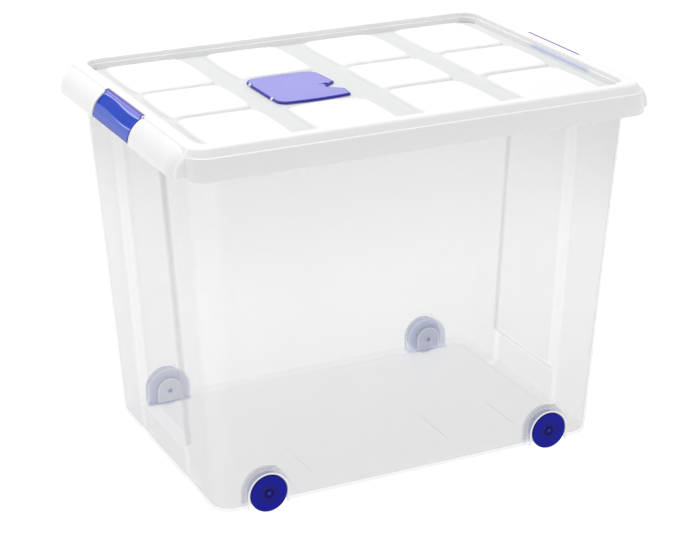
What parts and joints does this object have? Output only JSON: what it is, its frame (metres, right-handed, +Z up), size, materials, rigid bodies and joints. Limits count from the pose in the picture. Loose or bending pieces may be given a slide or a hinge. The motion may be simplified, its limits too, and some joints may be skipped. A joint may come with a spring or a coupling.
{
  "type": "wheeled storage box",
  "caption": "Tall clear plastic storage box on wheels, with a quilted white lid, blue end clips and a small hatch in the lid.",
  "frame": {"origin": "on the floor under the middle of the box, level with the bottom of the wheels", "axes": "+X along the long side towards the right-hand end clip, +Y from the front long wall to the rear one, +Z up"},
  "size_m": [0.608, 0.431, 0.466],
  "materials": {
    "clear_plastic": "clear hazy moulded polypropylene",
    "white_plastic": "milky white moulded polypropylene",
    "blue_clear": "blue translucent moulded polypropylene",
    "blue_solid": "deep blue moulded polypropylene",
    "pin_plastic": "natural moulded polypropylene"
  },
  "bodies": {
    "tub": {"tub": "clear_plastic", "axle_front_left": "pin_plastic", "axle_front_right": "pin_plastic", "axle_rear_left": "pin_plastic", "axle_rear_right": "pin_plastic"},
    "lid": {"lid": "white_plastic"},
    "clip_left": {"clip_left": "blue_clear"},
    "clip_right": {"clip_right": "blue_clear"},
    "hatch_flap": {"hatch_flap": "blue_clear"},
    "wheel_front_left": {"wheel_front_left": "blue_solid"},
    "wheel_front_right": {"wheel_front_right": "blue_solid"},
    "wheel_rear_left": {"wheel_rear_left": "blue_solid"},
    "wheel_rear_right": {"wheel_rear_right": "blue_solid"}
  },
  "joints": [
    {"name": "lid_lift", "type": "slide", "parent": "tub", "child": "lid", "axis": [0, 0, 1], "range_m": [0, 0.5]},
    {"name": "clip_left_hinge", "type": "hinge", "parent": "lid", "child": "clip_left", "pos_m": [-0.284, 0, 0.4634], "axis": [0, 1, 0], "range_deg": [0, 100]},
    {"name": "clip_right_hinge", "type": "hinge", "parent": "lid", "child": "clip_right", "pos_m": [0.284, 0, 0.4634], "axis": [0, -1, 0], "range_deg": [0, 100]},
    {"name": "hatch_hinge", "type": "hinge", "parent": "lid", "child": "hatch_flap", "pos_m": [-0.1147, 0, 0.4543], "axis": [0, -1, 0], "range_deg": [0, 115]},
    {"name": "wheel_front_left_spin", "type": "hinge", "parent": "tub", "child": "wheel_front_left", "pos_m": [-0.189, -0.1645, 0.0235], "axis": [0, 1, 0], "continuous": true},
    {"name": "wheel_front_right_spin", "type": "hinge", "parent": "tub", "child": "wheel_front_right", "pos_m": [0.189, -0.1645, 0.0235], "axis": [0, 1, 0], "continuous": true},
    {"name": "wheel_rear_left_spin", "type": "hinge", "parent": "tub", "child": "wheel_rear_left", "pos_m": [-0.189, 0.1645, 0.0235], "axis": [0, 1, 0], "continuous": true},
    {"name": "wheel_rear_right_spin", "type": "hinge", "parent": "tub", "child": "wheel_rear_right", "pos_m": [0.189, 0.1645, 0.0235], "axis": [0, 1, 0], "continuous": true}
  ]
}
